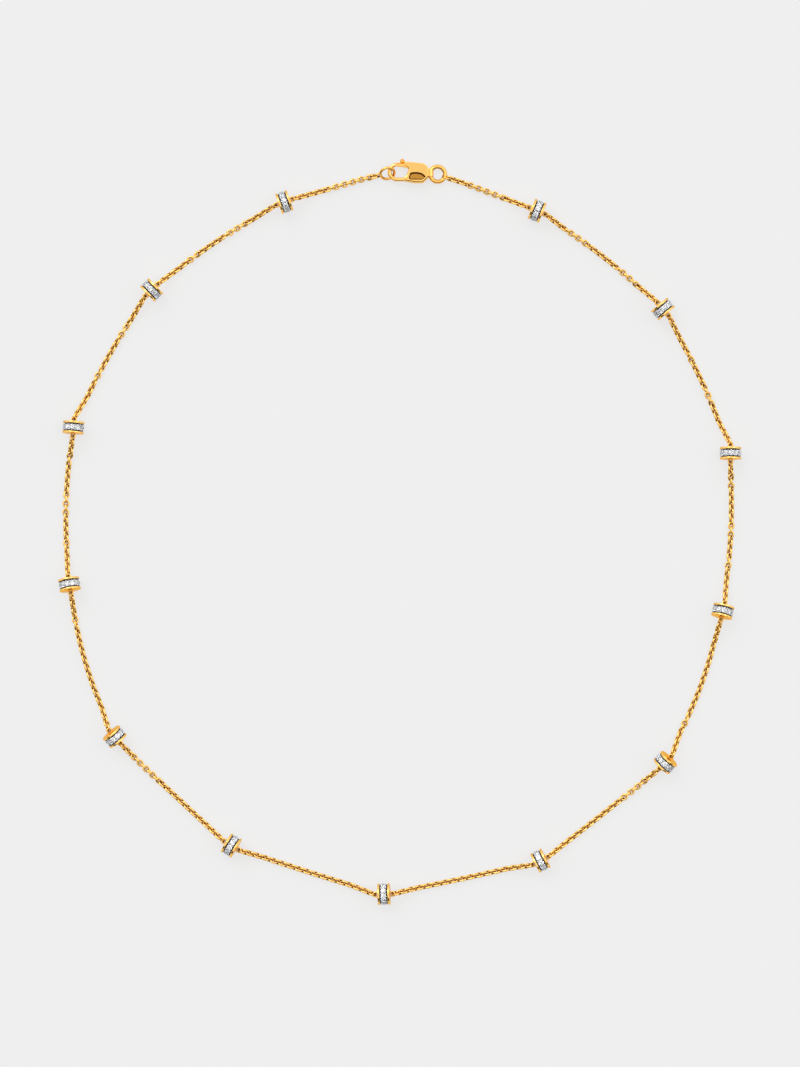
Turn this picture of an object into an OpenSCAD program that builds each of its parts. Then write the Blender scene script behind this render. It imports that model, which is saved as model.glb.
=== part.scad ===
// Gold station necklace, fastened and lying flat as an open loop.
// Thirteen small drums, each a ring of round stones between two gold flanges,
// sit between lengths of fine cable chain, and a lobster clasp closes the loop.
// The loop rests on the plane z = 0. +Y points from the middle station to the clasp.

/* [Chain] */
// Width over the links of the cable chain
chain_w = 1.2; // [1.1:0.05:1.3]
// Height of the middle of the chain where it lies on the surface
chain_z = 0.6; // [0.6:0.05:0.8]

/* [Station] */
// Outer diameter of the two gold flanges
flange_d = 4.4; // [4.2:0.05:4.45]
// Thickness of one flange
flange_t = 0.45; // [0.35:0.05:0.5]
// Rounding of a flange's rim
rim_r = 0.15; // [0.05:0.05:0.15]
// Width of the channel between the flanges
channel_w = 1.6; // [1.5:0.05:1.7]
// Diameter of the core that joins the flanges
core_d = 2; // [1.6:0.1:2.4]
// Number of stones around one station
stone_count = 10; // [8:1:12]
// Diameter of the ring of stones over the corners between them
stone_ring_d = 4.48; // [4.4:0.02:4.5]
// Play between the stones and the gold around them
stone_play = 0.03; // [0.02:0.01:0.05]
// Outer diameter of the wire loop soldered on each flange
loop_d = 1.25; // [1.15:0.05:1.35]
// Wire of that loop
loop_wire = 0.3; // [0.25:0.05:0.35]

/* [Clasp] */
// Thickness of the clasp's body
body_t = 2.4; // [2.3:0.1:2.5]
// Wire of the hook
hook_wire = 0.8; // [0.7:0.02:0.84]
// Radius of the hook's bend, to the middle of its wire
hook_bend_r = 1.52; // [1.5:0.01:1.54]
// Thickness of the lever that closes the hook
lever_t = 0.8; // [0.7:0.05:0.85]
// Length of the lever from its pin to its tip
lever_len = 2.8; // [2.7:0.05:2.8]
// Play around the lever
lever_play = 0.06; // [0.04:0.01:0.08]
// Diameter of the thumb knob on the lever
knob_d = 0.9; // [0.8:0.05:0.95]
// Diameter of the lever's pin
pin_d = 0.48; // [0.4:0.02:0.5]
// Depth of the window in the body's face
window_depth = 0.8; // [0.5:0.1:0.9]
// Diameter of the barrel that holds the large ring
eye_d = 1.44; // [1.4:0.02:1.5]

/* [Rings] */
// Outer diameter of the ring that the hook catches
small_ring_d = 3.44; // [3.4:0.02:3.48]
// Wire of the ring that the hook catches
small_ring_wire = 0.56; // [0.5:0.02:0.58]
// Outer diameter of the ring in the clasp's tail
large_ring_d = 3.95; // [3.9:0.05:4]
// Wire of the ring in the clasp's tail
large_ring_wire = 0.85; // [0.7:0.05:0.85]

/* [Hidden] */
gold = "#ffbe50";
pale_gold = "#ffd27a";
stone_white = "#eef2f5";
round_fn = 48;

// Stations, counted from the hook's side of the clasp around the loop.
// tilt lifts the leading end of the axis, turn is the place of a gap between two stones.
ST_X = 0;
ST_Y = 1;
ST_HEADING = 2;
ST_TILT = 3;
ST_TURN = 4;
stations = [
    [-23.8,  67.8, 199.6,   0, 10],
    [-51.1,  49.7, 224.0,   0, 13],
    [-67.2,  21.4, 265.8,   4, 13],
    [-68.0, -10.9, 280.5,  10,  6],
    [-58.7, -42.2, 310.0, -10,  2],
    [-34.7, -64.6, 329.3,   4,  6],
    [ -3.3, -74.6,   2.4,   4,  8],
    [ 28.9, -67.7,  27.5,   3,  6],
    [ 54.6, -47.5,  47.0,  12, 18],
    [ 66.4, -16.4,  76.2, -10, 16],
    [ 68.0,  16.1,  90.0,  -4, 18],
    [ 54.1,  45.8, 130.1,   0, 17],
    [ 28.2,  66.0, 157.6,   0,  9]
];

// Runs of chain, the first from the hook's ring to the first station.
// A run lies outside the straight line between its ends by side, and by bow more in its middle.
RUN_SIDE = 0;
RUN_BOW = 1;
runs = [
    [ 0.20, 0.00],
    [ 0.00, 1.10],
    [ 0.15, 0.95],
    [ 0.00, 1.25],
    [-0.05, 1.60],
    [ 0.45, 0.10],
    [ 0.30, 0.20],
    [ 0.15, 0.25],
    [ 0.35, 0.15],
    [-0.30, 1.65],
    [-0.20, 1.20],
    [ 0.05, 1.00],
    [-0.05, 1.10],
    [ 0.20, 0.00]
];
station_count = len(stations);
last_run = station_count;
// Where the first and last links hold the two rings, and where the chain leaves them
hook_grip = [-4.12, 73.47];
hook_chain_end = [-4.75, 73.35, 1.05];
tail_grip = [9.06, 73.16];
tail_chain_end = [10.0, 73.0, 0.62];
// Places along a run where its tube has a ring, as fractions between the stations' middles
run_stops = [0.21, 0.4, 0.6, 0.79];
first_run_stops = [0.18, 0.66];
last_run_stops = [0.34, 0.82];
tube_sides = 8;

// A station's own sizes
flange_r = flange_d / 2;
stone_ring_r = stone_ring_d / 2;
drum_half = channel_w / 2 + flange_t;
loop_bend_r = (loop_d - loop_wire) / 2;
// The loop's wire sinks into the flange by half its width
loop_x = drum_half + loop_bend_r;
// From the loop's middle to the end of the chain's tube, along the station's axis
loop_gap = 0.1;
loop_reach = loop_d / 2 + loop_gap;

// The clasp's own frame starts at clasp_y, in the middle of its width
clasp_y = 74;
mid_z = body_t / 2;
hook_x = -0.64;
hook_y = 0.05;
hook_tip_angle = 94;
hook_foot_angle = 270;
hook_foot_x = 1.6;
pivot = [1.95, 1.3];
lever_root_r = 0.6;
slot_t = lever_t + 2 * lever_play;
slot_from = [0.5, 0.3];
slot_to = [2.65, 2.5];
tip_room_from = [-1.2, 0.7];
tip_room_to = [0.4, 2.4];
knob = [0.47, 2.34];
bore_play = 0.04;
pin_play = 0.01;
pin_from = 0.02;
pin_to = 1.95;
eye_x = 6.18;
eye_from = -0.84;
eye_to = 0.75;
eye_play = 0.06;
body_outline = [
    [0.95,  1.45],
    [0.95,  2.06],
    [2.06,  2.06],
    [4.94,  1.74],
    [5.85,  0.88],
    [5.85, -1.15],
    [4.73, -2.22],
    [3.09, -2.22],
    [1.60, -1.98],
    [0.90, -1.85],
    [0.90, -0.95],
    [1.34, -0.63],
    [1.79,  0.54],
    [1.55,  1.00]
];
window_outline = [
    [2.06, -0.32],
    [2.53, -0.10],
    [3.70, -0.10],
    [4.53, -0.32],
    [5.29, -0.98],
    [4.65, -1.58],
    [2.16, -1.58],
    [1.79, -1.29]
];
lever_outline = [
    [pivot[0], pivot[1] + lever_root_r],
    [0.50, 2.02],
    [-1.20, 1.98],
    [-1.20, 1.20],
    [0.60, 1.08],
    [pivot[0], pivot[1] - lever_root_r]
];

// The rings: middle of each in plan, and the turns about X and Y that lift it off the surface
small_ring_at = [-2.6, 73.78];
small_ring_turn = [42, 12, 0];
large_ring_at = [7.75, 73.66];
large_ring_turn = [0, 8, 0];
small_ring_r = (small_ring_d - small_ring_wire) / 2;
large_ring_r = (large_ring_d - large_ring_wire) / 2;

function two_digits(i) = i < 10 ? str("0", i) : str(i);
function setting_name(i) = str("setting_", two_digits(i + 1));
function stones_name(i) = str("stones_", two_digits(i + 1));
function chain_name(i) = str("chain_", two_digits(i + 1));

// A station stands on its lower rim, or on its stones where they reach lower
function reach_down(radius, half, tilt) = radius * cos(tilt) + half * sin(abs(tilt));
function station_z(s) = max(
    reach_down(flange_r, drum_half, s[ST_TILT]),
    reach_down(stone_ring_r, channel_w / 2, s[ST_TILT])
);
function station_at(s) = [s[ST_X], s[ST_Y], station_z(s)];
function station_axis(s) = [
    cos(s[ST_HEADING]) * cos(s[ST_TILT]),
    sin(s[ST_HEADING]) * cos(s[ST_TILT]),
    sin(s[ST_TILT])
];
function flat(p) = [p[0], p[1]];

// Height of the middle of a turned ring whose lowest point lies on the surface
function ring_z(r, wire, turn) = r * sqrt(1 - pow(cos(turn[0]) * cos(turn[1]), 2)) + wire / 2;
small_ring_z = ring_z(small_ring_r, small_ring_wire, small_ring_turn);
large_ring_z = ring_z(large_ring_r, large_ring_wire, large_ring_turn);
// The near side of the large ring is at this height in the tail's eye
eye_z = large_ring_z + large_ring_r * sin(large_ring_turn[1]);

// The route of a run: the line between its stations, the tube's stops, and its two ends
function line_from(i) = i == 0 ? hook_grip : flat(stations[i - 1]);
function line_to(i) = i == last_run ? tail_grip : flat(stations[i]);
function stops(i) = i == 0 ? first_run_stops : i == last_run ? last_run_stops : run_stops;
function outward(d) = [d[1], -d[0]] / norm(d);
function aside(i, t) = runs[i][RUN_SIDE] + runs[i][RUN_BOW] * 4 * t * (1 - t);
function on_run(i, t) = let (
    a = line_from(i),
    d = line_to(i) - a,
    p = a + d * t + outward(d) * aside(i, t)
) [p[0], p[1], chain_z];
function unit(v) = v / norm(v);
// A run starts in front of a station's loop, on the straight way from the loop to its nearest stop.
// end is 1 for the loop that the station's axis points to, and -1 for the other.
function loop_at(s, end) = station_at(s) + end * loop_x * station_axis(s);
function run_end(s, end, stop) = let (
    from = loop_at(s, end),
    way = unit(stop - from)
) from + way * loop_reach / abs(way * station_axis(s));
function run_from(i) = i == 0 ? hook_chain_end
    : run_end(stations[i - 1], 1, on_run(i, stops(i)[0]));
function run_to(i) = i == last_run ? tail_chain_end
    : run_end(stations[i], -1, on_run(i, stops(i)[len(stops(i)) - 1]));
function route(i) = concat([run_from(i)], [for (t = stops(i)) on_run(i, t)], [run_to(i)]);

// A ring of the tube stands square to the route, with one of its flats on top
function along(points, k) = unit(points[min(k + 1, len(points) - 1)] - points[max(k - 1, 0)]);
// At a station the tube ends square to the station's axis
function heading(i, points, k) =
    k == 0 && i > 0 ? station_axis(stations[i - 1])
    : k == len(points) - 1 && i < last_run ? station_axis(stations[i])
    : along(points, k);
function tube_ring(at, dir, r) = let (
    side = unit(cross([0, 0, 1], dir)),
    up = cross(dir, side)
) [for (j = [0 : tube_sides - 1])
    let (a = (j + 0.5) * 360 / tube_sides)
    at + r * (cos(a) * side + sin(a) * up)];
module tube(points, headings, r) {
    n = tube_sides;
    last = len(points) - 1;
    rings = [for (k = [0 : last]) each tube_ring(points[k], headings[k], r)];
    walls = [for (k = [0 : last - 1], j = [0 : n - 1])
        let (here = k * n, there = here + n, next = (j + 1) % n)
        each [[here + j, there + j, there + next], [here + j, there + next, here + next]]];
    caps = [[for (j = [0 : n - 1]) j], [for (j = [n - 1 : -1 : 0]) last * n + j]];
    polyhedron(rings, concat(caps, walls));
}

// One length of the chain, as a plain tube along its route
module chain_run(i) {
    points = route(i);
    headings = [for (k = [0 : len(points) - 1]) heading(i, points, k)];
    color(gold) tube(points, headings, chain_w / 2);
}

// Puts a shape with its axis along +X at a station
module at_station(s) {
    translate(station_at(s))
        rotate([0, 0, s[ST_HEADING]])
            rotate([0, -s[ST_TILT], 0])
                children();
}

// Half outline of the two flanges on their core, from the axis outwards
module drum_profile() {
    translate([0, -drum_half])
        square([core_d / 2, 2 * drum_half]);
    for (side = [-1, 1])
        translate([0, side * (channel_w + flange_t) / 2]) {
            translate([0, -flange_t / 2])
                square([flange_r - rim_r, flange_t]);
            translate([0, -flange_t / 2 + rim_r])
                square([flange_r, flange_t - 2 * rim_r]);
            for (edge = [-1, 1])
                translate([flange_r - rim_r, edge * (flange_t / 2 - rim_r)])
                    circle(r = rim_r, $fn = round_fn);
        }
}

// The gold of one station: two flanges, their core, and a soldered loop at each end
module setting(s) {
    color(gold) at_station(s) {
        rotate([0, 90, 0])
            rotate_extrude($fn = round_fn)
                drum_profile();
        for (end = [-1, 1])
            translate([end * loop_x, 0, 0])
                rotate_extrude($fn = round_fn)
                    translate([loop_bend_r, 0])
                        circle(d = loop_wire, $fn = round_fn);
    }
}

// The stones of one station, as one ring with a flat for each stone
module stones(s) {
    color(stone_white) at_station(s)
        rotate([-s[ST_TURN], 0, 0])
            rotate([0, 90, 0])
                difference() {
                    linear_extrude(channel_w - 2 * stone_play, center = true)
                        circle(r = stone_ring_r, $fn = stone_count);
                    cylinder(d = core_d + 2 * stone_play, h = 2 * channel_w, center = true, $fn = round_fn);
                }
}

module wire_ring(bend_r, wire) {
    rotate_extrude($fn = round_fn)
        translate([bend_r, 0])
            circle(d = wire, $fn = round_fn);
}

// The soldered ring that the hook catches, one side over the hook and the other under it
module small_ring() {
    color(gold) translate([small_ring_at[0], small_ring_at[1], small_ring_z])
        rotate(small_ring_turn)
            wire_ring(small_ring_r, small_ring_wire);
}

module at_large_ring() {
    translate([large_ring_at[0], large_ring_at[1], large_ring_z])
        rotate(large_ring_turn)
            children();
}

// The soldered ring in the clasp's tail, its far side on the surface
module large_ring() {
    color(gold) at_large_ring()
        wire_ring(large_ring_r, large_ring_wire);
}

// A box between two corners of the clasp's plan
module plan_box(from, to, low, high) {
    translate([from[0], from[1], low])
        cube([to[0] - from[0], to[1] - from[1], high - low]);
}

// The hook: a round wire that bends around the nose and runs straight into the body
module hook() {
    translate([hook_x, hook_y, mid_z]) {
        rotate([0, 0, hook_tip_angle])
            rotate_extrude(angle = hook_foot_angle - hook_tip_angle, $fn = round_fn)
                translate([hook_bend_r, 0])
                    circle(d = hook_wire, $fn = round_fn);
        translate([0, -hook_bend_r, 0])
            rotate([0, 90, 0])
                cylinder(d = hook_wire, h = hook_foot_x - hook_x, $fn = round_fn);
    }
}

// The clasp's body, with its hook, lever slot, window, pin hole and tail eye
module clasp_body() {
    color(gold) difference() {
        translate([0, clasp_y, 0])
            difference() {
                union() {
                    linear_extrude(body_t)
                        polygon(body_outline);
                    hook();
                    translate([eye_x, eye_from, eye_z])
                        rotate([-90, 0, 0])
                            cylinder(d = eye_d, h = eye_to - eye_from, $fn = round_fn);
                }
                plan_box(slot_from, slot_to, mid_z - slot_t / 2, mid_z + slot_t / 2);
                translate([0, 0, body_t - window_depth])
                    linear_extrude(body_t)
                        polygon(window_outline);
                translate([pivot[0], pivot[1], -1])
                    cylinder(d = pin_d + 2 * pin_play, h = 1 + pin_to + pin_play, $fn = round_fn);
                intersection() {
                    plan_box(tip_room_from, tip_room_to, 0, body_t);
                    translate([pivot[0], pivot[1], 0])
                        cylinder(r = lever_len + lever_play, h = body_t, $fn = round_fn);
                }
            }
        at_large_ring()
            wire_ring(large_ring_r, large_ring_wire + 2 * eye_play);
    }
}

// The lever that closes the hook, with its thumb knob
module clasp_lever() {
    color(pale_gold) translate([0, clasp_y, mid_z])
        difference() {
            union() {
                intersection() {
                    linear_extrude(lever_t, center = true)
                        polygon(lever_outline);
                    translate(pivot)
                        cylinder(r = lever_len, h = lever_t, center = true, $fn = round_fn);
                }
                translate(pivot)
                    cylinder(r = lever_root_r, h = lever_t, center = true, $fn = round_fn);
                translate(knob)
                    sphere(d = knob_d, $fn = round_fn);
            }
            translate(pivot)
                cylinder(d = pin_d + 2 * bore_play, h = 2 * lever_t, center = true, $fn = round_fn);
        }
}

// The pin that the lever turns on, let in from the clasp's back
module clasp_pin() {
    color(pale_gold) translate([pivot[0], clasp_y + pivot[1], pin_from])
        cylinder(d = pin_d, h = pin_to - pin_from, $fn = round_fn);
}

clasp_body();
clasp_lever();
clasp_pin();
small_ring();
large_ring();
for (i = [0 : last_run])
    chain_run(i);
for (i = [0 : station_count - 1]) {
    setting(stations[i]);
    stones(stations[i]);
}
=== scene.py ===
import math

import bmesh
import bpy
import numpy as np
from mathutils import Matrix, Vector


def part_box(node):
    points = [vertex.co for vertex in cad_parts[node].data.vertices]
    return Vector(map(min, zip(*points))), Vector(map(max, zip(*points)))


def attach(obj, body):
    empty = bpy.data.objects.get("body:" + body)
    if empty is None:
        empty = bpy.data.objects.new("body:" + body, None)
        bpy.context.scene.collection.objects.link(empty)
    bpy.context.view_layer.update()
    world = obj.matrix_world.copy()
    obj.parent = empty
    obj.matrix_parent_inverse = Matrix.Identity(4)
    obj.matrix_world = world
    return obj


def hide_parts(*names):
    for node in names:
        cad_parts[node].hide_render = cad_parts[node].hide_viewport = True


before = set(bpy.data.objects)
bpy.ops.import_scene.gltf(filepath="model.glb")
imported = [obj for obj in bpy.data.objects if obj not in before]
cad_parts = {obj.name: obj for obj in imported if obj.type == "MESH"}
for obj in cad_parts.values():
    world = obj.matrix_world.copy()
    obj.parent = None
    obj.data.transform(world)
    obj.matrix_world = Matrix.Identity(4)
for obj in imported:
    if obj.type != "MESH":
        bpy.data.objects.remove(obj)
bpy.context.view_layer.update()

# Lengths are in metres. MM turns a size in millimetres into metres.
MM = 0.001

# Camera: straight above, as in the photograph, with the length of its view on the surface
VIEW_HEIGHT = 900 * MM
VIEW_LENGTH = 219.6 * MM
VIEW_CENTRE = (0.0, -0.4 * MM)
VIEW_LEVEL = 2 * MM
SENSOR = 36.0
CLIP = (VIEW_HEIGHT / 10, VIEW_HEIGHT * 10)

# Sky: (elevation in degrees, level in parts of SKY_TOP), the same all round
SKY_TOP = 2.0
SKY_LEVELS = [(0, 0.64), (20, 0.59), (35, 0.58), (50, 0.64), (73, 0.62), (81, 0.49), (90, 0.49)]
# Patches of the sky: azimuth, elevation, inner and outer radius in degrees, and level
SKY_PATCHES = [
    (215, 28, 20, 27, 0.08),
    (262, 28, 20, 27, 0.08),
    (308, 28, 20, 27, 0.08),
    (120, 46, 8, 22, 3.0),
    (20, 50, 4, 18, 2.4),
]
SUN = {"strength": 0.35, "spread": 25, "azimuth": 125, "elevation": 50}
FLOOR_REACH = 4.0
FLOOR_GLOW = 0.708
# Painted shadow on the floor: its glow fades where things within this distance hide the sky: it is
# gone at the first share of open sky, and full at the second
FLOOR_SHADE = (0.9 * MM, 0.02, 0.14)
# Painted shade on gold in crevices, from what lies within this distance: fully at the first share of
# open sky, and not at all at the second
CREVICE_SHADE = (0.4 * MM, 0.05, 0.28)
HIDDEN_SAMPLES = 8

# Stations along the chain: heading and tilt of the axis, and turn of the stones, in degrees
STATIONS = [
    (199.6, 0, 10),
    (224.0, 0, 13),
    (265.8, 4, 13),
    (280.5, 10, 6),
    (310.0, -10, 2),
    (329.3, 4, 6),
    (2.4, 4, 8),
    (27.5, 3, 6),
    (47.0, 12, 18),
    (76.2, -10, 16),
    (90.0, -4, 18),
    (130.1, 0, 17),
    (157.6, 0, 9),
]

# Drum of a station
FLANGE_R = 2.2 * MM
FLANGE_T = 0.45 * MM
RIM_R = 0.14 * MM
RIM_STEPS = 5
CHANNEL_HALF = 0.8 * MM
# The channel's section, in millimetres: place along the axis and radius
SEAT_OUTLINE = [(-0.8, 1.93), (-0.67, 1.86), (-0.3, 1.37), (0.3, 1.37), (0.67, 1.86), (0.8, 1.93)]
# Beads at the channel's edges: place along the axis and out from it, and radius
BEAD = {"x": 0.48 * MM, "r": 2.0 * MM, "size": 0.2 * MM, "points": (12, 8)}
DRUM_POINTS = 96
LOOP_R = 0.44 * MM
LOOP_WIRE = 0.37 * MM
LOOP_X = CHANNEL_HALF + FLANGE_T + 0.475 * MM
LOOP_POINTS = (48, 14)
# How dark the painted shade on the inner side of a wire is at most, from 0 to 1, here and for the links and
# the rings
LOOP_INNER = 1.0

# Stones: round brilliants, with the usual angles in degrees
STONE_COUNT = 10
STONE_SIDES = 8
STONE_D = 1.27 * MM
GIRDLE_R = 1.95 * MM
TABLE_SHARE = 0.57
CROWN_ANGLE = 34.5
PAVILION_ANGLE = 40.75
GIRDLE_SHARE = 0.03
LOWER_SHARE = 0.25
# Turn of a stone about its own axis, in degrees: for each stone in its drum, and for each drum
STONE_SPIN = (37, 11)

# Chain
LINK_LENGTH = 1.755 * MM
LINK_WIDTH = 1.42 * MM
LINK_WIRE = 0.42 * MM
LINK_POINTS = (32, 10)
LINK_HALF = (LINK_WIDTH - LINK_WIRE) / 2
LINK_INNER = 1.0
# Painted shade in a band on the inner side of a wire: where it starts, and how fast it darkens
INNER_BAND = (-0.3, 2.4)
# Painted shade on an end link where it lies in a loop or a ring: from the first distance from its
# middle, fully at the second, and how dark
GRIP_SHADE = (0.34 * MM, 0.5 * MM, 0.65)

# Runs of chain: how far each lies outside the straight line, how far it bows more in its middle,
# and the stretches where its links show their holes, as shares of the run
RUNS = [
    (0.20, 0.00, [(0.08, 0.62)]),
    (0.00, 1.10, [(0.23, 0.44), (0.64, 0.76)]),
    (0.15, 0.95, [(0.22, 0.37), (0.60, 0.72)]),
    (0.00, 1.25, [(0.10, 0.21), (0.40, 0.60), (0.74, 0.82)]),
    (-0.05, 1.60, [(0.15, 0.25)]),
    (0.45, 0.10, [(0.10, 0.40)]),
    (0.30, 0.20, []),
    (0.15, 0.25, []),
    (0.35, 0.15, [(0.65, 0.92)]),
    (-0.30, 1.65, [(0.20, 0.31)]),
    (-0.20, 1.20, [(0.22, 0.33), (0.45, 0.60), (0.80, 0.93)]),
    (0.05, 1.00, [(0.30, 0.45), (0.62, 0.71)]),
    (-0.05, 1.10, [(0.17, 0.38), (0.62, 0.85)]),
    (0.20, 0.00, [(0.28, 0.76)]),
]
RUN_STOPS = (0.21, 0.4, 0.6, 0.79)
FIRST_RUN_STOPS = (0.18, 0.66)
LAST_RUN_STOPS = (0.34, 0.82)
ROUTE_STEPS = 40
# Turn of the links about the chain, in degrees: at a run's start, in its closed stretches, by how
# much its end differs from them, and how far an open stretch sways about its middle turn
START_TWIST = 30.0
CLOSED_TWIST = 45.0
END_TWIST = 15
OPEN_SWAY = 8
# Shares of a run: where it is fully closed first and last, the length in which an open stretch
# opens or closes, and the smallest steps to the first open stretch and from the last
CLOSED_FROM = 0.07
CLOSED_TO = 0.94
OPEN_EDGE = 0.04
KEY_GAP = {"start": 0.02, "end": 0.01}
HOOK_GRIP = Vector((-4.12, 73.47, 1.05)) * MM
TAIL_GRIP = Vector((9.06, 73.16, 0.62)) * MM

# Rings at the clasp
SMALL_RING = {"outer": 3.44 * MM, "wire": 0.56 * MM, "turn": (42, 12)}
LARGE_RING = {"outer": 3.95 * MM, "wire": 0.85 * MM, "turn": (0, 8)}
RING_POINTS = (96, 20)
RING_INNER = 0.3
# Painted shade on the small ring where it passes the hook: place, distance of the full dark and of its end
HOOK_SHADE = (Vector((-1.75, 73.95, 1.2)) * MM, 0.35 * MM, 0.75 * MM)

# Clasp, in millimetres in its own frame: x along it, y across it from the line of its middle
CLASP_Y = 74.0
BODY_T = 2.4
# Edges that are rounded: the lower side, the side at the hook's opening, and all the rest
LOWER_EDGE = [(5.85, -1.15), (4.73, -2.22), (3.09, -2.22), (1.60, -1.98), (0.90, -1.85)]
OPENING_EDGE = [(0.90, -0.95), (1.34, -0.63), (1.79, 0.54), (1.55, 1.00)]
LOWER_FILLET = 0.48
OPENING_FILLET = 0.3
OTHER_FILLET = 0.1
BODY_OUTLINE = [
    (0.95, 1.45), (0.95, 2.06), (2.06, 2.06), (4.94, 1.74), (5.85, 0.88), (5.85, -1.15), (4.73, -2.22),
    (3.09, -2.22), (1.60, -1.98), (0.90, -1.85), (0.90, -0.95), (1.34, -0.63), (1.79, 0.54), (1.55, 1.00),
]
WINDOW_OUTLINE = [
    (2.06, -0.32), (2.53, -0.10), (3.70, -0.10), (4.53, -0.32),
    (5.29, -0.98), (4.65, -1.58), (2.16, -1.58), (1.79, -1.29),
]
WINDOW_DEPTH = 0.6
WINDOW_SLOPE = 0.2
# Stretch inside the window's edge with painted shade, and how far it fades on both sides
WINDOW_SHADE = (0.02, 0.14, 0.07)
KNOB_TAB = [(0.04, 1.75), (1.36, 1.75), (1.24, 1.98), (0.86, 2.55), (0.47, 2.70), (0.14, 2.58), (0.04, 2.34)]
KNOB_TAB_T = 0.8
KNOB_DOME = 0.5
# Size of the grid that rounds the clasp's edges, and how often it is smoothed
CLASP_GRID = 0.04
CLASP_SMOOTHING = 8
SMOOTHING_FACTOR = 0.5
# Points this near are one: in the CAD mesh, in metres, and in the grid, as a share of its size
CAD_WELD = 0.0001 * MM
GRID_WELD = 0.25
# How far outside the body's outline its own walls may lie, in millimetres
BODY_REACH = 0.06

GOLD = (1.0, 0.62, 0.187, 1)
GOLD_DEEP = (0.99, 0.57, 0.152, 1)
# Dark brown of the painted shade on gold
GOLD_PAINTED_SHADE = (0.07, 0.034, 0.004, 1)
# Gold of the rings, darker with painted shade
GOLD_RING_SHADED = (0.98, 0.53, 0.13, 1)
GOLD_RING_SHADED_DEEP = (0.96, 0.5, 0.115, 1)
# Gold of the knob, darker with painted shade
GOLD_KNOB_SHADED = (0.94, 0.43, 0.075, 1)
GOLD_KNOB_SHADED_DEEP = (0.92, 0.4, 0.065, 1)
# Gold of the window's floor: rougher, and darker with painted shade
GOLD_DULL_SHADED = (0.53, 0.26, 0.046, 1)
GOLD_DULL_SHADED_DEEP = (0.47, 0.225, 0.037, 1)
# Tint of gold that is seen at a grazing angle
GOLD_EDGE = (1.0, 0.72, 0.32, 1)
# Rhodium of the channel, darkened with painted shade
CHANNEL_SHADE_GREY = (0.14, 0.143, 0.155, 1)
CHANNEL_SHADE_GREY_DEEP = (0.09, 0.092, 0.1, 1)
BEAD_WHITE = (0.66, 0.67, 0.69, 1)
BEAD_WHITE_DEEP = (0.55, 0.56, 0.58, 1)
DIAMOND = (0.95, 0.96, 0.98, 1)
DIAMOND_DEEP = (0.86, 0.87, 0.9, 1)
DIAMOND_IOR = 2.42
DIAMOND_CLEAR = 0.78
FLOOR_GREY = (0.13, 0.13, 0.13, 1)
FLOOR_GREY_DEEP = (0.133, 0.133, 0.133, 1)
# Noise scales, in a metre: patches of colour in each material, and wear in rhodium
PATCH_SCALE = {"gold": 420, "rhodium": 900, "diamond": 700, "floor": 30}
RHODIUM_WEAR = 2200
# Noise values that count as the lowest and the highest
NOISE_RANGE = (0.3, 0.7)
# Lowest and highest roughness, in parts of the usual one
GOLD_SPREAD = (0.7, 1.3)
RHODIUM_SPREAD = (0.75, 1.25)
# Marks in gold: how much finer they are than its wear, and their depth
MARK_SCALE = 3
MARK_DEPTH = 0.01 * MM


class Shell:
    """A surface: its points, its faces, how much painted shade each point has, and each face's material."""

    def __init__(self, points, faces, painted_shade=0.0, finish=0):
        self.points = np.asarray(points, float)
        self.faces = faces
        self.painted_shade = np.broadcast_to(painted_shade, len(self.points))
        self.finish = np.broadcast_to(finish, len(faces))


class Pieces:
    """Collects placed shells for one joined mesh."""

    def __init__(self):
        self.points, self.faces, self.painted_shade, self.finish = [], [], [], []
        self.count = 0

    def add(self, shell, matrix):
        turn = np.array(matrix)
        self.points.append(shell.points @ turn[:3, :3].T + turn[:3, 3])
        self.faces += [tuple(self.count + i for i in face) for face in shell.faces]
        self.painted_shade.append(shell.painted_shade)
        self.finish.append(shell.finish)
        self.count += len(shell.points)

    def build(self, name, materials, sharp=40):
        """A new object, smooth but for edges sharper than this many degrees."""
        mesh = bpy.data.meshes.new(name)
        mesh.from_pydata(np.concatenate(self.points).tolist(), [], self.faces)
        mesh.update()
        dress(mesh, materials, np.concatenate(self.finish))
        shade(mesh, np.concatenate(self.painted_shade))
        mesh.shade_smooth()
        mesh.set_sharp_from_angle(angle=math.radians(sharp))
        return link_object(name, mesh)


def link_object(name, data):
    obj = bpy.data.objects.new(name, data)
    bpy.context.scene.collection.objects.link(obj)
    return obj


def dress(mesh, materials, finish=None):
    """Gives a mesh its materials. finish has the number of each face's material."""
    mesh.materials.clear()
    for material in materials:
        mesh.materials.append(material)
    if finish is not None:
        mesh.polygons.foreach_set("material_index", np.asarray(finish).astype(np.int32))


def shade(mesh, painted_shade):
    """Stores how much painted shade each point of a mesh has, for its material."""
    mesh.attributes.new("painted_shade", "FLOAT", "POINT").data.foreach_set("value", painted_shade)


def piece(obj, body, node):
    """Gives a new piece its body, and hides the CAD node that it stands for."""
    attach(obj, body)
    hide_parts(node)


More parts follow.
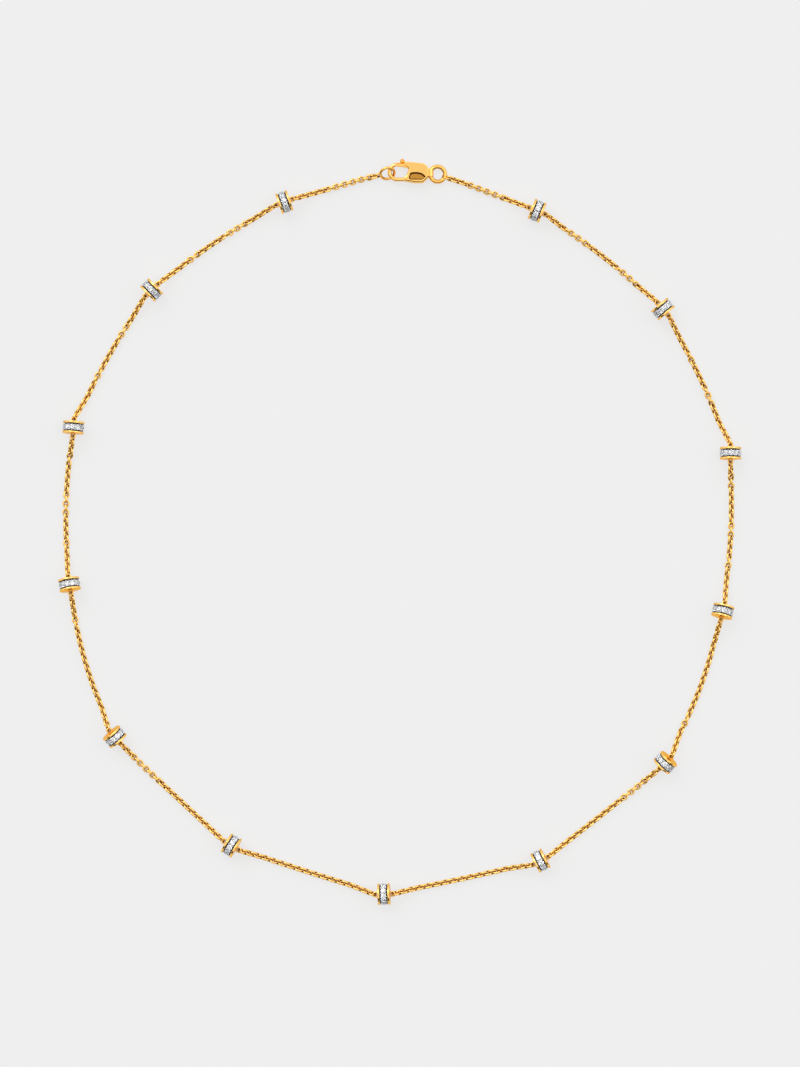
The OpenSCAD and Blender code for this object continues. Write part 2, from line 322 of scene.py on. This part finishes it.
class Shader:
    """A material's node tree, with short calls for the nodes used here."""

    def __init__(self, name):
        self.material = bpy.data.materials.new(name)
        self.material.use_nodes = True
        self.nodes = self.material.node_tree.nodes
        self.links = self.material.node_tree.links
        self.surface = self.nodes["Principled BSDF"]
        self.coords = self.nodes.new("ShaderNodeTexCoord").outputs["Object"]

    def noise(self, scale, detail=3.0):
        node = self.nodes.new("ShaderNodeTexNoise")
        node.inputs["Scale"].default_value = scale
        node.inputs["Detail"].default_value = detail
        self.links.new(self.coords, node.inputs["Vector"])
        return node.outputs["Fac"]

    def mix(self, factor, first, second):
        """A colour between first and second. first may be another node's output."""
        node = self.nodes.new("ShaderNodeMix")
        node.data_type = "RGBA"
        self.links.new(factor, node.inputs["Factor"])
        for colour, socket in ((first, node.inputs["A"]), (second, node.inputs["B"])):
            if isinstance(colour, tuple):
                socket.default_value = colour
            else:
                self.links.new(colour, socket)
        return node.outputs["Result"]

    def spread(self, value, low, high):
        """Turns a noise value into a number between low and high."""
        node = self.nodes.new("ShaderNodeMapRange")
        node.inputs["From Min"].default_value = NOISE_RANGE[0]
        node.inputs["From Max"].default_value = NOISE_RANGE[1]
        node.inputs["To Min"].default_value = low
        node.inputs["To Max"].default_value = high
        self.links.new(value, node.inputs["Value"])
        return node.outputs["Result"]

    def attribute(self, name):
        node = self.nodes.new("ShaderNodeAttribute")
        node.attribute_name = name
        return node.outputs["Fac"]

    def hidden(self, distance, start, end, top=1.0):
        """0 where the share of open sky within a distance is start, top where it is end."""
        around = self.nodes.new("ShaderNodeAmbientOcclusion")
        around.samples = HIDDEN_SAMPLES
        around.inputs["Distance"].default_value = distance
        node = self.nodes.new("ShaderNodeMapRange")
        node.inputs["From Min"].default_value = start
        node.inputs["From Max"].default_value = end
        node.inputs["To Max"].default_value = top
        self.links.new(around.outputs["AO"], node.inputs["Value"])
        return node.outputs["Result"]

    def relief(self, height, strength, distance):
        node = self.nodes.new("ShaderNodeBump")
        node.inputs["Strength"].default_value = strength
        node.inputs["Distance"].default_value = distance
        self.links.new(height, node.inputs["Height"])
        self.feed("Normal", node.outputs["Normal"])

    def feed(self, socket, output):
        self.links.new(output, self.surface.inputs[socket])


def gold_material(name, roughness, relief, wear_scale, light=GOLD, deep=GOLD_DEEP):
    """Yellow gold, deeper in patches, with painted shade in dull brown where the mesh carries it and in
    crevices, and with fine marks.
    """
    shader = Shader(name)
    shader.surface.inputs["Metallic"].default_value = 1.0
    shader.surface.inputs["Specular Tint"].default_value = GOLD_EDGE
    tone = shader.mix(shader.noise(PATCH_SCALE["gold"]), light, deep)
    tone = shader.mix(shader.attribute("painted_shade"), tone, GOLD_PAINTED_SHADE)
    # Painted shade: dull brown in crevices, where things near by hide the sky
    distance, dark, clear = CREVICE_SHADE
    shader.feed("Base Color", shader.mix(shader.hidden(distance, clear, dark), tone, GOLD_PAINTED_SHADE))
    low, high = (roughness * part for part in GOLD_SPREAD)
    shader.feed("Roughness", shader.spread(shader.noise(wear_scale), low, high))
    shader.relief(shader.noise(wear_scale * MARK_SCALE), relief, MARK_DEPTH)
    return shader.material


def rhodium_material(name, light, deep, roughness):
    """Grey rhodium finish, deeper in patches."""
    shader = Shader(name)
    shader.surface.inputs["Metallic"].default_value = 1.0
    shader.feed("Base Color", shader.mix(shader.noise(PATCH_SCALE["rhodium"]), light, deep))
    low, high = (roughness * part for part in RHODIUM_SPREAD)
    shader.feed("Roughness", shader.spread(shader.noise(RHODIUM_WEAR), low, high))
    return shader.material


def diamond_material():
    """Clear diamond, with a faint change of tone from stone to stone."""
    shader = Shader("diamond")
    tones = shader.noise(PATCH_SCALE["diamond"], detail=1.0)
    shader.feed("Base Color", shader.mix(tones, DIAMOND, DIAMOND_DEEP))
    shader.surface.inputs["Roughness"].default_value = 0.0
    shader.surface.inputs["IOR"].default_value = DIAMOND_IOR
    shader.surface.inputs["Transmission Weight"].default_value = DIAMOND_CLEAR
    return shader.material


def floor_material():
    """Plain pale floor with a faint glow of its own, faded near things as a painted shadow."""
    shader = Shader("floor")
    shader.feed("Base Color", shader.mix(shader.noise(PATCH_SCALE["floor"]), FLOOR_GREY, FLOOR_GREY_DEEP))
    shader.surface.inputs["Roughness"].default_value = 1.0
    shader.surface.inputs["Specular IOR Level"].default_value = 0.0
    shader.surface.inputs["Emission Color"].default_value = (1, 1, 1, 1)
    shader.feed("Emission Strength", shader.hidden(*FLOOR_SHADE, top=FLOOR_GLOW))
    return shader.material


def place_camera():
    data = bpy.data.cameras.new("camera")
    camera = link_object("camera", data)
    camera.location = (*VIEW_CENTRE, VIEW_HEIGHT)
    data.sensor_width = SENSOR
    data.lens = SENSOR * (VIEW_HEIGHT - VIEW_LEVEL) / VIEW_LENGTH
    data.clip_start, data.clip_end = CLIP
    bpy.context.scene.camera = camera


def build_floor():
    mesh = bpy.data.meshes.new("floor")
    corners = [(x * FLOOR_REACH, y * FLOOR_REACH, 0) for x, y in ((-1, -1), (1, -1), (1, 1), (-1, 1))]
    mesh.from_pydata(corners, [], [(0, 1, 2, 3)])
    floor = link_object("floor", mesh)
    dress(floor.data, [floor_material()])


def towards(azimuth, elevation):
    """A unit vector. Azimuth turns from +X towards +Y, in degrees."""
    a, e = math.radians(azimuth), math.radians(elevation)
    return Vector((math.cos(e) * math.cos(a), math.cos(e) * math.sin(a), math.sin(e)))


def light_studio():
    """An even bright sky with soft brighter and darker patches, and one soft light from the upper left."""
    world = bpy.data.worlds.new("studio")
    bpy.context.scene.world = world
    world.use_nodes = True
    nodes, links = world.node_tree.nodes, world.node_tree.links
    coords = nodes.new("ShaderNodeTexCoord").outputs["Generated"]
    split = nodes.new("ShaderNodeSeparateXYZ")
    links.new(coords, split.inputs["Vector"])
    ramp = nodes.new("ShaderNodeValToRGB")
    while len(ramp.color_ramp.elements) < len(SKY_LEVELS):
        ramp.color_ramp.elements.new(1.0)
    for element, (elevation, share) in zip(ramp.color_ramp.elements, SKY_LEVELS):
        element.position = math.sin(math.radians(elevation))
        element.color = (share, share, share, 1)
    links.new(split.outputs["Z"], ramp.inputs["Fac"])
    scale = nodes.new("ShaderNodeMath")
    scale.operation = "MULTIPLY"
    scale.inputs[1].default_value = SKY_TOP
    links.new(ramp.outputs["Color"], scale.inputs[0])
    level = scale.outputs["Value"]
    for azimuth, elevation, inner, outer, patch_level in SKY_PATCHES:
        toward = nodes.new("ShaderNodeVectorMath")
        toward.operation = "DOT_PRODUCT"
        toward.inputs[1].default_value = towards(azimuth, elevation)
        links.new(coords, toward.inputs[0])
        reach = nodes.new("ShaderNodeMapRange")
        reach.interpolation_type = "SMOOTHSTEP"
        reach.inputs["From Min"].default_value = math.cos(math.radians(outer))
        reach.inputs["From Max"].default_value = math.cos(math.radians(inner))
        links.new(toward.outputs["Value"], reach.inputs["Value"])
        blend = nodes.new("ShaderNodeMix")
        links.new(reach.outputs["Result"], blend.inputs["Factor"])
        links.new(level, blend.inputs["A"])
        blend.inputs["B"].default_value = patch_level
        level = blend.outputs["Result"]
    links.new(level, nodes["Background"].inputs["Strength"])
    nodes["Background"].inputs["Color"].default_value = (1, 1, 1, 1)
    data = bpy.data.lights.new("key", "SUN")
    data.energy = SUN["strength"]
    data.angle = math.radians(SUN["spread"])
    key = link_object("key", data)
    key.rotation_mode = "QUATERNION"
    key.rotation_quaternion = towards(SUN["azimuth"], SUN["elevation"]).to_track_quat("Z", "Y")
    bpy.context.scene.view_settings.view_transform = "Standard"


def node_centre(node):
    low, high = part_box(node)
    return (low + high) / 2


def station_matrix(index):
    heading, tilt, _ = STATIONS[index]
    turn = Matrix.Rotation(math.radians(heading), 4, "Z") @ Matrix.Rotation(-math.radians(tilt), 4, "Y")
    return Matrix.Translation(node_centre(f"setting_{index + 1:02d}")) @ turn


def grid_faces(rows, columns, row_loop=True):
    """Quads between rows of points. Each row closes on itself, and with row_loop so does the stack."""
    faces = []
    for k in range(rows if row_loop else rows - 1):
        here, there = k * columns, (k + 1) % rows * columns
        for j in range(columns):
            after = (j + 1) % columns
            faces.append((here + j, there + j, there + after, here + after))
    return faces


def torus(bend_r, wire_r, points, squash=1.0, inner=0.0):
    """A closed wire in the XY plane. squash shortens it along Y, and inner paints shade on its inner side.
    """
    count, around_count = points
    along = 2 * np.pi * np.arange(count) / count
    around = 2 * np.pi * (np.arange(around_count) + 0.5) / around_count
    centre = np.stack([bend_r * np.cos(along), bend_r * squash * np.sin(along), 0 * along], 1)
    out = np.stack([squash * np.cos(along), np.sin(along), 0 * along], 1)
    out /= np.linalg.norm(out, axis=1, keepdims=True)
    side = np.cos(around)[None, :, None] * out[:, None] + np.sin(around)[None, :, None] * np.array([0, 0, 1])
    verts = (centre[:, None] + wire_r * side).reshape(-1, 3)
    start, gain = INNER_BAND
    painted_shade = inner * np.clip(start - gain * np.cos(around), 0, 1)
    return Shell(verts, grid_faces(count, around_count), np.tile(painted_shade, count))


def rim(x_from, x_to, radius):
    """The rounded outer corners of a flange, from x_from to x_to."""
    points = []
    for centre, start in ((x_from + RIM_R, 180), (x_to - RIM_R, 90)):
        for k in range(RIM_STEPS + 1):
            angle = math.radians(start - 90 * k / RIM_STEPS)
            points.append((centre + RIM_R * math.cos(angle), radius - RIM_R + RIM_R * math.sin(angle)))
    return points


def drum():
    """The drum about the X axis: two flanges in gold and the channel between them in grey metal darkened
    with painted shade.
    """
    end = CHANNEL_HALF + FLANGE_T
    seat = [(x * MM, r * MM) for x, r in SEAT_OUTLINE]
    profile = np.array(rim(-end, -CHANNEL_HALF, FLANGE_R) + seat + rim(CHANNEL_HALF, end, FLANGE_R))
    angle = 2 * np.pi * np.arange(DRUM_POINTS) / DRUM_POINTS
    x, r = profile[:, :1], profile[:, 1:]
    points = np.stack([x + 0 * angle, r * np.cos(angle), r * np.sin(angle)], 2).reshape(-1, 3)
    faces = grid_faces(len(profile), DRUM_POINTS, row_loop=False)
    rim_rows = 2 * (RIM_STEPS + 1)
    row = np.arange(len(faces)) // DRUM_POINTS
    inner = RIM_STEPS // 2
    finish = ((row >= rim_rows - 1 - inner) & (row < rim_rows + len(seat) + inner)).astype(int)
    faces = [tuple(reversed(face)) for face in faces]
    faces += [tuple(reversed(range(DRUM_POINTS))), tuple(range(len(points) - DRUM_POINTS, len(points)))]
    return Shell(points, faces, finish=np.append(finish, [0, 0]))


def ball(radius, points, finish):
    """A small ball, without faces of no size at its poles."""
    count, rows = points
    up = np.pi * (np.arange(rows) + 0.5) / rows
    along = 2 * np.pi * np.arange(count) / count
    x, y = np.sin(up)[:, None] * np.cos(along), np.sin(up)[:, None] * np.sin(along)
    verts = radius * np.stack([x, y, np.cos(up)[:, None] + 0 * x], 2).reshape(-1, 3)
    faces = grid_faces(rows, count, row_loop=False)
    faces += [tuple(range(count)), tuple(reversed(range(len(verts) - count, len(verts))))]
    return Shell(verts, faces, finish=finish)


def build_drums(gold, channel_shade_metal, white_metal):
    barrel = drum()
    loop = torus(LOOP_R, LOOP_WIRE / 2, LOOP_POINTS, inner=LOOP_INNER)
    bead = ball(BEAD["size"], BEAD["points"], finish=2)
    for index in range(len(STATIONS)):
        place = station_matrix(index)
        shells = Pieces()
        shells.add(barrel, place)
        for end in (-1, 1):
            shells.add(loop, place @ Matrix.Translation((end * LOOP_X, 0, 0)))
            for k in range(STONE_COUNT):
                around = Matrix.Rotation(math.radians(k * 360 / STONE_COUNT - STATIONS[index][2]), 4, "X")
                shells.add(bead, place @ around @ Matrix.Translation((end * BEAD["x"], 0, BEAD["r"])))
        name = f"{index + 1:02d}"
        obj = shells.build(f"drum_{name}", [gold, channel_shade_metal, white_metal])
        piece(obj, "necklace", f"setting_{name}")


def brilliant():
    """A round brilliant with its table up and its girdle around the origin."""
    radius = STONE_D / 2
    table_r = radius * TABLE_SHARE
    girdle = STONE_D * GIRDLE_SHARE / 2
    crown = math.tan(math.radians(CROWN_ANGLE))
    pavilion = math.tan(math.radians(PAVILION_ANGLE))
    half = math.pi / STONE_SIDES
    star_r = (table_r * math.cos(half) + radius) / 2
    star_z = girdle + (radius - star_r * math.cos(half)) * crown
    lower_r = radius * LOWER_SHARE
    lower_z = -girdle - (radius - lower_r * math.cos(half)) * pavilion

    def ring(count, r, z, offset):
        return [(r * math.cos(a), r * math.sin(a), z) for a in
                (offset + 2 * math.pi * k / count for k in range(count))]

    sides, edges = STONE_SIDES, 2 * STONE_SIDES
    points = ring(sides, table_r, girdle + (radius - table_r) * crown, 0)
    points += ring(sides, star_r, star_z, half)
    points += ring(edges, radius, girdle, 0)
    points += ring(edges, radius, -girdle, 0)
    points += ring(sides, lower_r, lower_z, half)
    points.append((0, 0, -girdle - radius * pavilion))
    table, star, top = 0, sides, 2 * sides
    bottom = top + edges
    lower = bottom + edges
    culet = lower + sides
    faces = [tuple(range(sides))]
    for k in range(sides):
        after, before = (k + 1) % sides, (k - 1) % sides
        main, middle, next_main = 2 * k, 2 * k + 1, (2 * k + 2) % edges
        faces.append((table + k, star + k, table + after))
        faces.append((table + k, star + before, top + main, star + k))
        faces.append((star + k, top + main, top + middle))
        faces.append((star + k, top + middle, top + next_main))
        faces.append((lower + k, bottom + middle, bottom + main))
        faces.append((lower + k, bottom + next_main, bottom + middle))
        faces.append((culet, lower + k, bottom + main, lower + before))
    for k in range(edges):
        after = (k + 1) % edges
        faces.append((top + k, bottom + k, bottom + after, top + after))
    return Shell(points, faces)


def build_stones(diamond):
    stone = brilliant()
    for index, (_, _, turn) in enumerate(STATIONS):
        place = station_matrix(index)
        shells = Pieces()
        for k in range(STONE_COUNT):
            around = Matrix.Rotation(math.radians((k + 0.5) * 360 / STONE_COUNT - turn), 4, "X")
            spin = Matrix.Rotation(math.radians(STONE_SPIN[0] * k + STONE_SPIN[1] * index), 4, "Z")
            shells.add(stone, place @ around @ Matrix.Translation((0, 0, GIRDLE_R)) @ spin)
        name = f"{index + 1:02d}"
        obj = shells.build(f"brilliants_{name}", [diamond], sharp=1)
        piece(obj, "necklace", f"stones_{name}")


def run_line(index):
    """Ends of the straight line that a run is measured from, on the surface."""
    last = len(RUNS) - 1
    start = HOOK_GRIP if index == 0 else station_matrix(index - 1).translation
    end = TAIL_GRIP if index == last else station_matrix(index).translation
    return start.xy, end.xy


def lift(twist):
    """Height of the middle of a link that lies on the surface, turned by this angle about the chain."""
    return LINK_WIRE / 2 + LINK_HALF * abs(math.sin(math.radians(twist)))


def on_run(index, share):
    """A point of a run on the surface, at the height of links turned halfway."""
    side, bow, _ = RUNS[index]
    start, end = run_line(index)
    along = end - start
    outward = Vector((along.y, -along.x)).normalized()
    place = start + along * share + outward * (side + bow * 4 * share * (1 - share)) * MM
    return Vector((place.x, place.y, lift(CLOSED_TWIST)))


def grip(index, end):
    """Where a run's outermost link bears on its station's loop. end is 1 or -1 along the station's axis."""
    reach = LOOP_X + LOOP_R - LOOP_WIRE / 2
    return station_matrix(index) @ Vector((end * reach, 0, 0))


def route(index):
    last = len(RUNS) - 1
    stops = {0: FIRST_RUN_STOPS, last: LAST_RUN_STOPS}.get(index, RUN_STOPS)
    shares = [stops[0] + (stops[-1] - stops[0]) * k / ROUTE_STEPS for k in range(ROUTE_STEPS + 1)]
    start = HOOK_GRIP if index == 0 else grip(index - 1, 1)
    end = TAIL_GRIP if index == last else grip(index, -1)
    return [start, *(on_run(index, share) for share in shares), end]


def at_length(points, length):
    """The point that lies this far along a line of points."""
    for a, b in zip(points, points[1:]):
        step = (b - a).length
        if length <= step or b is points[-1]:
            return a + (b - a) * (length / step)
        length -= step


def twist_keys(opens, odd):
    """(share, degrees) pairs. A run turns on by a quarter between a closed stretch and the next."""
    closed_from = min([CLOSED_FROM] + [start - KEY_GAP["start"] for start, _ in opens[:1]])
    keys = [(0.0, START_TWIST), (closed_from, CLOSED_TWIST)]
    level = CLOSED_TWIST
    for start, end in opens:
        middle = level + 90 / 2
        keys += [(start, level), (start + OPEN_EDGE, middle - OPEN_SWAY)]
        keys += [(end - OPEN_EDGE, middle + OPEN_SWAY), (end, level + 90)]
        level += 90
    quarters = len(opens) + 1
    finish = level + END_TWIST if (quarters + odd) % 2 == 0 else level - END_TWIST
    keys += [(max(CLOSED_TO, keys[-1][0] + KEY_GAP["end"]), level), (1.0, finish)]
    return keys


def at_share(keys, share):
    for (a, low), (b, high) in zip(keys, keys[1:]):
        if share <= b:
            return low + (high - low) * (share - a) / (b - a)
    return keys[-1][1]


def gripped(link, end):
    """A link with painted shade at one end, which is -1 or 1."""
    start, full, depth = GRIP_SHADE
    dark = depth * np.clip((end * link.points[:, 0] - start) / (full - start), 0, 1)
    return Shell(link.points, link.faces, np.maximum(link.painted_shade, dark))


def build_chain(gold):
    squash = (LINK_WIDTH - LINK_WIRE) / (LINK_LENGTH - LINK_WIRE)
    link = torus((LINK_LENGTH - LINK_WIRE) / 2, LINK_WIRE / 2, LINK_POINTS, squash, LINK_INNER)
    ends = {0: gripped(link, -1), -1: gripped(link, 1)}
    full_pitch = LINK_LENGTH - 2 * LINK_WIRE
    for index, (_, _, opens) in enumerate(RUNS):
        points = route(index)
        length = sum((b - a).length for a, b in zip(points, points[1:]))
        count = math.ceil(length / full_pitch)
        keys = twist_keys(opens, (count - 1) % 2)
        twists = [90 + 90 * k + at_share(keys, k / (count - 1)) for k in range(count)]
        joints = [at_length(points, length * k / count) for k in range(count + 1)]
        for k, twist in enumerate(twists):
            for joint in joints[k:k + 2]:
                joint.z = max(joint.z, lift(twist))
        shells = Pieces()
        for k, (a, b, twist) in enumerate(zip(joints, joints[1:], twists)):
            ahead = (b - a).normalized()
            side = Vector((0, 0, 1)).cross(ahead).normalized()
            axes = Matrix((ahead, side, ahead.cross(side))).transposed().to_4x4()
            lie = Matrix.Rotation(math.radians(twist), 4, "X")
            shells.add(ends.get(k - count, ends.get(k, link)), Matrix.Translation((a + b) / 2) @ axes @ lie)
        name = f"{index + 1:02d}"
        obj = shells.build(f"links_{name}", [gold])
        piece(obj, "necklace", f"chain_{name}")


def build_rings(gold):
    for node, size in (("small_ring", SMALL_RING), ("large_ring", LARGE_RING)):
        lean, tip = (math.radians(angle) for angle in size["turn"])
        turn = Matrix.Rotation(tip, 4, "Y") @ Matrix.Rotation(lean, 4, "X")
        shells = Pieces()
        wire = torus((size["outer"] - size["wire"]) / 2, size["wire"] / 2, RING_POINTS, inner=RING_INNER)
        place = Matrix.Translation(node_centre(node)) @ turn
        # Painted shade on the small ring where it passes the hook
        at, full, end = HOOK_SHADE
        away = np.linalg.norm(wire.points - np.array(place.inverted() @ at), axis=1)
        wire.painted_shade = np.maximum(wire.painted_shade, np.clip((end - away) / (end - full), 0, 1))
        shells.add(wire, place)
        obj = shells.build(f"{node}_wire", [gold])
        piece(obj, "necklace", node)


def edge_distance(corners, x, y):
    """How far each point lies from a line of corners."""
    nearest = np.full(len(x), np.inf)
    for (ax, ay), (bx, by) in zip(corners, corners[1:]):
        dx, dy = bx - ax, by - ay
        share = np.clip(((x - ax) * dx + (y - ay) * dy) / (dx * dx + dy * dy), 0, 1)
        nearest = np.minimum(nearest, np.hypot(x - ax - share * dx, y - ay - share * dy))
    return nearest


def inside_by(outline, x, y):
    """How far each point lies inside a closed outline. It is below zero outside."""
    closed = outline + outline[:1]
    inside = np.zeros(len(x), bool)
    for (ax, ay), (bx, by) in zip(closed, closed[1:]):
        if by != ay:
            inside ^= ((ay > y) != (by > y)) & (x < ax + (y - ay) * (bx - ax) / (by - ay))
    return edge_distance(closed, x, y) * np.where(inside, 1, -1)


def prism(outline, low, high):
    """A solid over an outline, in the clasp's own frame."""
    count = len(outline)
    points = [(x * MM, (y + CLASP_Y) * MM, z * MM) for z in (low, high) for x, y in outline]
    faces = [(k, (k + 1) % count, count + (k + 1) % count, count + k) for k in range(count)]
    return Shell(points, faces + [tuple(reversed(range(count))), tuple(range(count, 2 * count))])


def remeshed(name, node, extra):
    """A copy of a CAD part joined with an extra shell, on an even grid of faces."""
    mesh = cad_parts[node].data.copy()
    joined = bmesh.new()
    joined.from_mesh(mesh)
    verts = [joined.verts.new(point) for point in extra.points]
    for face in extra.faces:
        joined.faces.new([verts[i] for i in face])
    bmesh.ops.remove_doubles(joined, verts=joined.verts, dist=CAD_WELD)
    joined.to_mesh(mesh)
    joined.free()
    obj = link_object(name, mesh)
    grid = obj.modifiers.new("grid", "REMESH")
    grid.mode = "VOXEL"
    grid.voxel_size = CLASP_GRID * MM
    shown = obj.evaluated_get(bpy.context.evaluated_depsgraph_get())
    obj.data = bpy.data.meshes.new_from_object(shown)
    obj.modifiers.clear()
    return obj


def smoothed(obj, steps):
    """Merges points that lie together, then rounds all edges a little."""
    grid = bmesh.new()
    grid.from_mesh(obj.data)
    bmesh.ops.remove_doubles(grid, verts=grid.verts, dist=CLASP_GRID * MM * GRID_WELD)
    all_axes = {"use_axis_x": True, "use_axis_y": True, "use_axis_z": True}
    for _ in range(steps):
        bmesh.ops.smooth_vert(grid, verts=grid.verts, factor=SMOOTHING_FACTOR, **all_axes)
    bmesh.ops.recalc_face_normals(grid, faces=grid.faces)
    grid.to_mesh(obj.data)
    grid.free()
    obj.data.shade_smooth()


def plan_of(mesh, items):
    """Places of a mesh's vertices or faces in the clasp's own frame, in millimetres."""
    source, name = (mesh.vertices, "co") if items == "vertices" else (mesh.polygons, "center")
    places = np.empty(len(source) * 3)
    source.foreach_get(name, places)
    places = places.reshape(-1, 3) / MM
    return places[:, 0], places[:, 1] - CLASP_Y, places[:, 2]


def rounded(distance, radius):
    """Height of a rounded edge below the face, this far from the edge."""
    left = radius - np.clip(distance, 0, radius)
    return radius - np.sqrt(radius**2 - left**2)


def build_clasp(gold, dull_shaded_gold, knob_shaded_gold):
    fill = prism(WINDOW_OUTLINE, BODY_T / 2, BODY_T)
    shell = remeshed("clasp_shell", "clasp_body", fill)
    mesh = shell.data
    x, y, z = plan_of(mesh, "vertices")
    depth = inside_by(BODY_OUTLINE, x, y)
    drop = rounded(depth, OTHER_FILLET)
    drop = np.maximum(drop, rounded(edge_distance(LOWER_EDGE, x, y), LOWER_FILLET))
    drop = np.maximum(drop, rounded(edge_distance(OPENING_EDGE, x, y), OPENING_FILLET))
    in_window = inside_by(WINDOW_OUTLINE, x, y)
    top = BODY_T - drop - WINDOW_DEPTH * np.clip(in_window / WINDOW_SLOPE, 0, 1)
    z = np.where(depth > -BODY_REACH, np.clip(z, drop, top), z)
    mesh.vertices.foreach_set("co", (np.stack([x, y + CLASP_Y, z], 1) * MM).ravel())
    smoothed(shell, CLASP_SMOOTHING)
    x, y, z = plan_of(mesh, "vertices")
    # Painted shade in a band just inside the window's edge
    start, end, fade = WINDOW_SHADE
    in_window = inside_by(WINDOW_OUTLINE, x, y)
    band = np.minimum(in_window - start, end - in_window) / fade + 1
    shade(mesh, np.where(z > BODY_T / 2, np.clip(band, 0, 1), 0))
    x, y, z = plan_of(mesh, "faces")
    # The window's floor: rougher gold, darkened with painted shade
    dress(mesh, [gold, dull_shaded_gold], (z > BODY_T / 2) & (inside_by(WINDOW_OUTLINE, x, y) > start))
    piece(shell, "necklace", "clasp_body")

    low, high = (BODY_T - KNOB_TAB_T) / 2, (BODY_T + KNOB_TAB_T) / 2
    lever = remeshed("thumb_lever", "clasp_lever", prism(KNOB_TAB, low, high))
    x, y, z = plan_of(lever.data, "vertices")
    knob_from = KNOB_TAB[0][1]
    dome = rounded(inside_by(KNOB_TAB, x, y), KNOB_DOME) * (y > knob_from)
    z = np.clip(z, low, high - dome)
    lever.data.vertices.foreach_set("co", (np.stack([x, y + CLASP_Y, z], 1) * MM).ravel())
    smoothed(lever, CLASP_SMOOTHING)
    x, y, z = plan_of(lever.data, "faces")
    # The knob: gold darkened with painted shade
    dress(lever.data, [gold, knob_shaded_gold], y > knob_from)
    piece(lever, "lever", "clasp_lever")
    dress(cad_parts["clasp_pin"].data, [gold])


place_camera()
build_floor()
light_studio()
polished = gold_material("polished_gold", roughness=0.13, relief=0.08, wear_scale=1500)
drawn_wire = gold_material("drawn_gold_wire", roughness=0.16, relief=0.05, wear_scale=2500)
ring_shaded_gold = gold_material("ring_shaded_gold", 0.13, 0.08, 1500, GOLD_RING_SHADED, GOLD_RING_SHADED_DEEP)
dull_shaded_gold = gold_material("dull_shaded_gold", 0.32, 0.1, 2500, GOLD_DULL_SHADED, GOLD_DULL_SHADED_DEEP)
knob_shaded_gold = gold_material("knob_shaded_gold", 0.2, 0.08, 1500, GOLD_KNOB_SHADED, GOLD_KNOB_SHADED_DEEP)
shaded_channel_metal = rhodium_material("shaded_rhodium_channel", CHANNEL_SHADE_GREY, CHANNEL_SHADE_GREY_DEEP, roughness=0.27)
bead_metal = rhodium_material("bright_beads", BEAD_WHITE, BEAD_WHITE_DEEP, roughness=0.2)
build_chain(drawn_wire)
build_drums(polished, shaded_channel_metal, bead_metal)
build_stones(diamond_material())
build_rings(ring_shaded_gold)
build_clasp(polished, dull_shaded_gold, knob_shaded_gold)
